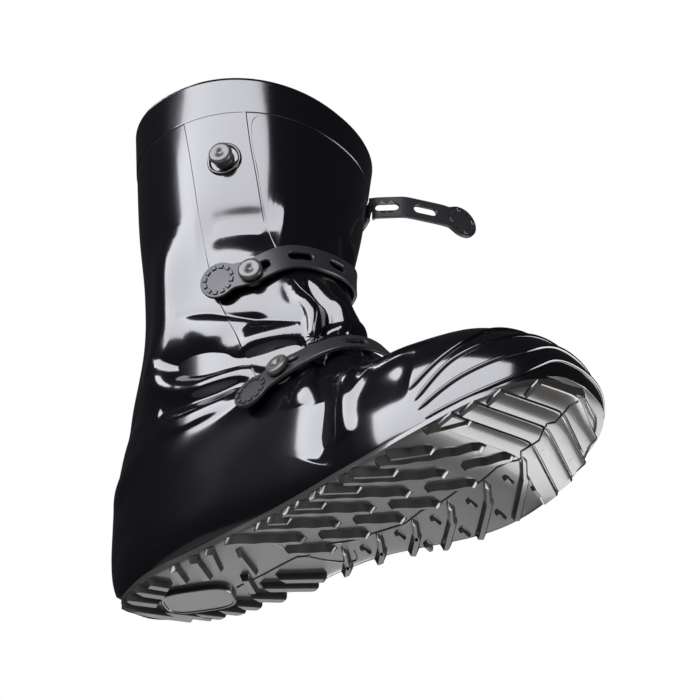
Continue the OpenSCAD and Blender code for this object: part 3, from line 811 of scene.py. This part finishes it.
finish_piece(mesh_object("toe_rib_lines", *joined([rib(line) for line in RIBS]), LATEX),
             ["toe_ribs"])
finish_piece(build_pull_lug(), ["rear_pull_lug"])


# ------------ sole and insole
SOLE_CURVE = along(SOLE_EDGES, np.linspace(0, len(SOLE_EDGES) - 1, 200))
SOLE_BACK, SOLE_FRONT = -53, 266
# Heights over the ground face: the sole plate's underside, its top, and the roots of the bars in it.
LUG, PLATE_TOP = 3.6, 9.4
ROOT = LUG + 0.6
# Bars stay this far inside the sole's outline. Their stations are about this far apart, and between
# its swellings a linked bar keeps this share of its width.
RIM_GAP, BAR_STEP, BAR_WAIST = 0.3, 2.2, 0.62


def edges_at(x):
    """The sole's outer and inner edge at x."""
    return np.interp(x, SOLE_CURVE[:, 0], SOLE_CURVE[:, 1]), np.interp(x, SOLE_CURVE[:, 0], SOLE_CURVE[:, 2])


def slab(low, high, inset_by, first, last, columns=48, stations=150, puff=0.0):
    """A slab of the sole between two heights above the rising ground face, with rounded edges."""
    t = (1 - np.cos(np.linspace(0, math.pi, stations))) / 2
    x = first + (last - first) * t
    lo, hi = edges_at(x)
    lo, hi = lo + inset_by, hi - inset_by
    close = np.clip(np.minimum(x - first, last - x) / 6, 0, 1)**0.5
    mid, half = (lo + hi) / 2, np.maximum((hi - lo) / 2, 0.2) * (0.15 + 0.85 * close)
    a = np.linspace(0, 2 * math.pi, columns, endpoint=False)
    across, level = signed_power(np.cos(a), 0.5), signed_power(np.sin(a), 0.3)
    y = mid[:, None] + half[:, None] * across
    z = rise(x)[:, None] + (low + high) / 2 + level * (high - low) / 2
    z = z + puff * np.maximum(level, 0) * (1 - np.abs(across))
    points = np.stack([np.repeat(x[:, None], columns, 1), y, z], -1)
    return points.reshape(-1, 3), tube_faces(stations, columns)


def bar(x, y, direction, length, width, ends=(1.6, 1.6), slope=2.9, low=0.0, links=1):
    """A tread bar from (x, y) along a direction, clipped to the sole, with sloping sides.

    ends are the lengths of its sloping ends, slope how far its sides lean in, low its foot's height
    over the ground face, and links the number of swellings along it. Its first end faces the toe.
    """
    a = direction * DEG
    run, side = np.array([math.cos(a), math.sin(a)]), np.array([-math.sin(a), math.cos(a)])
    inner = np.linspace(ends[0], length - ends[1], max(int(length / BAR_STEP), 3))[1:-1]
    stations = np.concatenate([[0, ends[0]], inner, [length - ends[1], length]])
    front = -side[0] / run[0] if abs(run[0]) > 0.5 else 0.0
    rows = []
    for k, d in enumerate(stations):
        centre = np.array([x, y]) + run * d
        lo, hi = edges_at(centre[0])
        if not (lo - 1 < centre[1] < hi + 1) or not SOLE_BACK + 1 <= centre[0] <= SOLE_FRONT - 0.5:
            if rows:
                break
            continue
        tip = k == 0 or k == len(stations) - 1
        swell = 1.0 if links == 1 else abs(math.sin(math.pi * links * d / length))**0.7
        base = width / 2 * (BAR_WAIST + (1 - BAR_WAIST) * swell)
        top = max(base - slope, 0.7)
        shear = front * (1.0 if k < 2 else 0.5 if k == 2 else 0.0)
        ring = []
        for half, h in ((base, ROOT), (top + 0.35, low + 0.5), (top, low),
                        (-top, low), (-top - 0.35, low + 0.5), (-base, ROOT)):
            p = centre + side * half + run * (shear * half)
            if tip:
                h = max(h, LUG - 0.2)
            lo, hi = edges_at(p[0])
            ring.append([p[0], min(max(p[1], lo + RIM_GAP), hi - RIM_GAP), rise(p[0]) + h])
        rows.append(ring)
    if len(rows) < 2:
        return None
    points = np.array(rows)
    if abs(points[-1, 2, 2] - rise(points[-1, 2, 0]) - low) < 0.3:
        # A bar cut off by the sole's edge ends in a short steep face.
        outer = points[-1].copy()
        outer[:, :2] += run * 0.6
        outer[:, 2] = np.maximum(outer[:, 2], rise(outer[:, 0]) + 1.5)
        points = np.concatenate([points, outer[None]])
    return points.reshape(-1, 3), tube_faces(len(points), 6)


# The laths: how many, the first one's x, their pitch, half width and foot's height over the ground
# face; the y of their middle, how sharply they turn there, and how far they sweep back to the outer
# and to the inner side.
LATHS, FIRST_LATH, LATH_PITCH, LATH_HALF, LATH_LOW = 4, 228.5, 10.5, 4.75, 1.6
LATH_MIDDLE, LATH_TURN, SWEEP_OUTER, SWEEP_INNER = 8, 4, 0.2, 0.34
# How much higher a lath's foot is at its two ends.
LATH_DROP = 1.4


def lath(x):
    """A flat lath across the toe, from rim to rim, swept back to both sides."""
    rows = []
    for y in np.arange(-60.0, 72.0, 1.5):
        away = y - LATH_MIDDLE
        bend = math.sqrt(away * away + LATH_TURN**2) - LATH_TURN
        centre = x - bend * (SWEEP_OUTER if away < 0 else SWEEP_INNER)
        lo, hi = edges_at(centre)
        if lo + RIM_GAP < y < hi - RIM_GAP and centre < SOLE_FRONT - 0.8:
            rows.append((centre, y))
    points = []
    for k, (centre, y) in enumerate(rows):
        foot = LATH_LOW + (LATH_DROP if k in (0, len(rows) - 1) else 0.0)
        points += [(min(centre + across, SOLE_FRONT - 0.2), y, rise(centre + across) + h)
                   for across, h in ((-LATH_HALF, ROOT), (-LATH_HALF, foot + 0.5), (0.6 - LATH_HALF, foot),
                                     (LATH_HALF - 0.6, foot), (LATH_HALF, foot + 0.5), (LATH_HALF, ROOT))]
    return np.array(points), tube_faces(len(rows), 6)


def wire(line, radius, count=0):
    """A thin raised line on the sole, through points (x, y, height above the ground face)."""
    line = np.array(line, float)
    if count:
        line = along(line, np.linspace(0, len(line) - 1, count))
    centre = np.stack([line[:, 0], line[:, 1], rise(line[:, 0]) + line[:, 2]], 1)
    run = unit(np.gradient(centre, axis=0))
    side = unit(np.cross(run, [0, 0, 1.0]))
    up = np.cross(side, run)
    a = np.arange(6)[:, None] * math.pi / 3
    points = centre[:, None] + radius * (np.cos(a) * side[:, None] + np.sin(a) * up[:, None])
    return points.reshape(-1, 3), tube_faces(len(centre), 6)


# The forefoot's rows of bars, and the bars of one row, each from its row's x.
TREAD_ROWS, FIRST_ROW, ROW_PITCH = 6, 98, 25
ROW_BARS = [
    (1, 8, -142, 29, 8.5, (3.0, 2.5), 2.9, 0, 2), (-4, -12, -142, 58, 8.8, (3.2, 2.5), 2.9, 0, 4),
    (4, -33, -142, 26, 7.5, (3.0, 2.5), 2.9, 0, 2), (-3, 24, 135, 40, 6.5, (2.6, 2.5), 1.9),
    (4, 12, 125, 22, 5.0, (2.5, 2.5), 1.7), (12, 17, 98, 9, 3.4, (1.2, 1.2), 0.8, 1.5),
    (16, 38, 100, 10, 3.4, (1.2, 1.2), 0.8, 1.5)]
# The heel's bars: x, y, direction, length and width.
HEEL_ENDS, HEEL_SLOPE = (2.5, 2), 1.5
HEEL_BARS = [
    (-43, -23, 58, 46, 7.5), (-32, -30, 58, 22, 7.5), (-20, -33, 60, 20, 7.5), (-9, -35, 62, 16, 7),
    (-25, -2, 57, 30, 7), (-13, 11, 56, 28, 7), (0, 17, 54, 24, 7), (12, 20, 50, 22, 7),
    (30, 15, -63, 20, 6.5, (2, 2)), (25, 19, 45, 26, 7), (38, 14, 41, 34, 7), (52, 12, 40, 28, 7),
    (46, -1, -68, 28, 4.2, (1.5, 3.5), 1.2), (8, -20, -66, 20, 7), (21, -14, -66, 26, 7),
    (34, -20, -60, 22, 6.5)]


def tread_parts():
    """All the bars and laths of the sole."""
    rows = [(FIRST_ROW + ROW_PITCH * k + row[0], *row[1:]) for k in range(TREAD_ROWS) for row in ROW_BARS]
    rows += [row + (HEEL_ENDS, HEEL_SLOPE)[len(row) - 5:] for row in HEEL_BARS]
    bars = [bar(*row) for row in rows]
    return [b for b in bars if b] + [lath(FIRST_LATH + LATH_PITCH * k) for k in range(LATHS)]


def heel_pad(turn=25 * DEG, count=48):
    """The heel's plain pad: a rounded rectangle with a raised rim."""
    turned = np.array([[math.cos(turn), -math.sin(turn)], [math.sin(turn), math.cos(turn)]])
    outline = superellipse(count, 22, 13, 0.6)
    rings = [(1.0, ROOT), (1.0, 0.9), (0.97, 0.4), (0.92, 0.4), (0.9, 0.9), (0.1, 0.9)]
    points = [np.column_stack([(outline * size) @ turned.T, np.full(count, h)]) for size, h in rings]
    return np.concatenate(points), tube_faces(len(rings), count)


# The mould's parting line along the sole, as (x, y); over the laths it runs on their feet.
PARTING = [(25, 6), (45, 5), (62, 3), (75, 2), (80, 5), (100, 3), (112, 9), (125, 10), (145, 13), (160, 8),
           (175, 8), (192, 5), (198, 10), (212, 8), (225, 12), (228, 8), (238, 11), (247, 6), (250, 10),
           (260, 9), (265, 12)]
PARTING_LIFT, PARTING_DROP, PARTING_DROP_X = 0.1, 1.95, 219


def parting_line():
    """The parting line's points, with their heights over the ground face."""
    points = []
    for (x0, y0), (x1, y1) in zip(PARTING[:-1], PARTING[1:]):
        for t in np.linspace(0, 1, 7)[:-1]:
            x = x0 + (x1 - x0) * t
            drop = PARTING_DROP * min(max((x - PARTING_DROP_X) / 3, 0), 1)
            points.append((x, y0 + (y1 - y0) * t, LUG - PARTING_LIFT - drop))
    return points


WAIST_LOOP = [(80, 5, LUG), (85, 16, LUG), (92, 25, LUG), (98, 27, LUG), (104, 18, LUG)]
WAIST_LINE = [(77, 1, LUG), (76.5, -14, LUG), (75, -30, LUG)]
sole_parts = [slab(LUG, PLATE_TOP, 0.0, SOLE_BACK, SOLE_FRONT)] + tread_parts() + [heel_pad()]
outsole = mesh_object("outsole_tread", *joined(sole_parts), TREAD)
outsole.data.set_sharp_from_angle(angle=32 * DEG)
finish_piece(outsole, ["outsole"])
# The parting line and the two thin lines in the waist are real raised ridges. Their black rubber, darker than
# the tread, is painted shade along them.
lines = [wire(parting_line(), 0.55), wire(WAIST_LOOP, 0.45, 40), wire(WAIST_LINE, 0.4, 20)]
finish_piece(mesh_object("sole_mould_lines_painted_shade", *joined(lines), LATEX), [])
insole = mesh_object("insole_felt_sheet", *slab(13, 15.5, 13, -18, 244, puff=0.8), FELT)
finish_piece(insole, ["insole"])

# ------------ camera, floor and light
AZIMUTH, ELEVATION, ROLL = 39.44 * DEG, -34.83 * DEG, -1.19 * DEG
DISTANCE, LENS = 1133.5, 98.3
TARGET = np.array([110, 6, 120.0])
# How far the camera slides to its right and up, which places the boot in the frame.
SLIDE_RIGHT, SLIDE_UP = 2.87, 10.2


def place_camera():
    """The camera at the photograph's angle."""
    camera = bpy.data.cameras.new("camera")
    camera.lens = LENS
    camera.sensor_width = 36
    camera.clip_end = 20
    right = np.array([math.cos(AZIMUTH), math.sin(AZIMUTH), 0])
    back = np.array([math.sin(AZIMUTH) * math.cos(ELEVATION), -math.cos(AZIMUTH) * math.cos(ELEVATION),
                     math.sin(ELEVATION)])
    up = np.cross(back, right)
    at = (TARGET + (right * SLIDE_RIGHT + up * SLIDE_UP) + back * DISTANCE) * MM
    rolled_right = right * math.cos(ROLL) + up * math.sin(ROLL)
    rolled_up = up * math.cos(ROLL) - right * math.sin(ROLL)
    obj = bpy.data.objects.new("camera", camera)
    obj.matrix_world = Matrix([*zip(rolled_right, rolled_up, back, at), (0, 0, 0, 1)])
    bpy.context.collection.objects.link(obj)
    bpy.context.scene.camera = obj


def softbox(name, direction, distance, width, height, power, colour=(1, 1, 1)):
    """An area light that faces the boot's middle from the given direction."""
    middle = Vector((0.1, 0, 0.15))
    lamp = bpy.data.lights.new(name, "AREA")
    lamp.shape = "RECTANGLE"
    lamp.size, lamp.size_y = width, height
    lamp.energy = power
    lamp.color = colour
    obj = bpy.data.objects.new(name, lamp)
    away = Vector(direction).normalized()
    obj.location = middle + away * distance
    obj.rotation_euler = away.to_track_quat("Z", "Y").to_euler()
    bpy.context.collection.objects.link(obj)


def place_floor():
    """A plain pale floor, well below the boot, which hangs as it does in the photograph."""
    size, depth = 3.0, -1.6
    mesh = bpy.data.meshes.new("floor")
    mesh.from_pydata([(-size, -size, depth), (size, -size, depth), (size, size, depth), (-size, size, depth)],
                     [], [(0, 1, 2, 3)])
    material = bpy.data.materials.new("pale_floor")
    material.use_nodes = True
    set_inputs(material.node_tree.nodes["Principled BSDF"],
               {"Base Color": (0.8, 0.8, 0.79, 1), "Roughness": 0.7, "Emission Color": (1, 1, 1, 1),
                "Emission Strength": 0.3})
    mesh.materials.append(material)
    floor = bpy.data.objects.new("floor", mesh)
    bpy.context.collection.objects.link(floor)


def light_world():
    """A dim room, whose walls look white to the camera."""
    world = bpy.data.worlds.new("studio")
    bpy.context.scene.world = world
    world.use_nodes = True
    nodes, links = world.node_tree.nodes, world.node_tree.links
    shade = nodes["Background"]
    set_inputs(shade, {"Color": (0.9, 0.93, 1.0, 1), "Strength": 0.03})
    white = nodes.new("ShaderNodeBackground")
    set_inputs(white, {"Color": (1, 1, 1, 1), "Strength": 1.0})
    path = nodes.new("ShaderNodeLightPath")
    mix = nodes.new("ShaderNodeMixShader")
    links.new(path.outputs["Is Camera Ray"], mix.inputs["Fac"])
    links.new(shade.outputs["Background"], mix.inputs[1])
    links.new(white.outputs["Background"], mix.inputs[2])
    links.new(mix.outputs["Shader"], nodes["World Output"].inputs["Surface"])


place_camera()
place_floor()
light_world()
# The large softbox that shows all down the outer side, then small ones for the collar and the sole.
softbox("side_box", (0.1, -0.93, 0.36), 1.3, 2.06, 0.95, 70, (0.93, 0.94, 1.0))
softbox("top_box", (-0.5, -0.07, 0.87), 1.4, 0.4, 0.4, 4)
softbox("sole_box", (-0.52, 0.63, -0.57), 1.0, 0.8, 0.6, 1.5)
softbox("toe_box", (0.2, 0.62, -0.76), 0.95, 0.36, 0.5, 5)
softbox("lug_box", (0.72, 0.63, -0.29), 1.0, 0.5, 0.5, 9)
softbox("heel_box", (-0.66, 0.68, -0.3), 1.0, 0.3, 0.3, 1.6)
bpy.context.scene.view_settings.view_transform = "Standard"
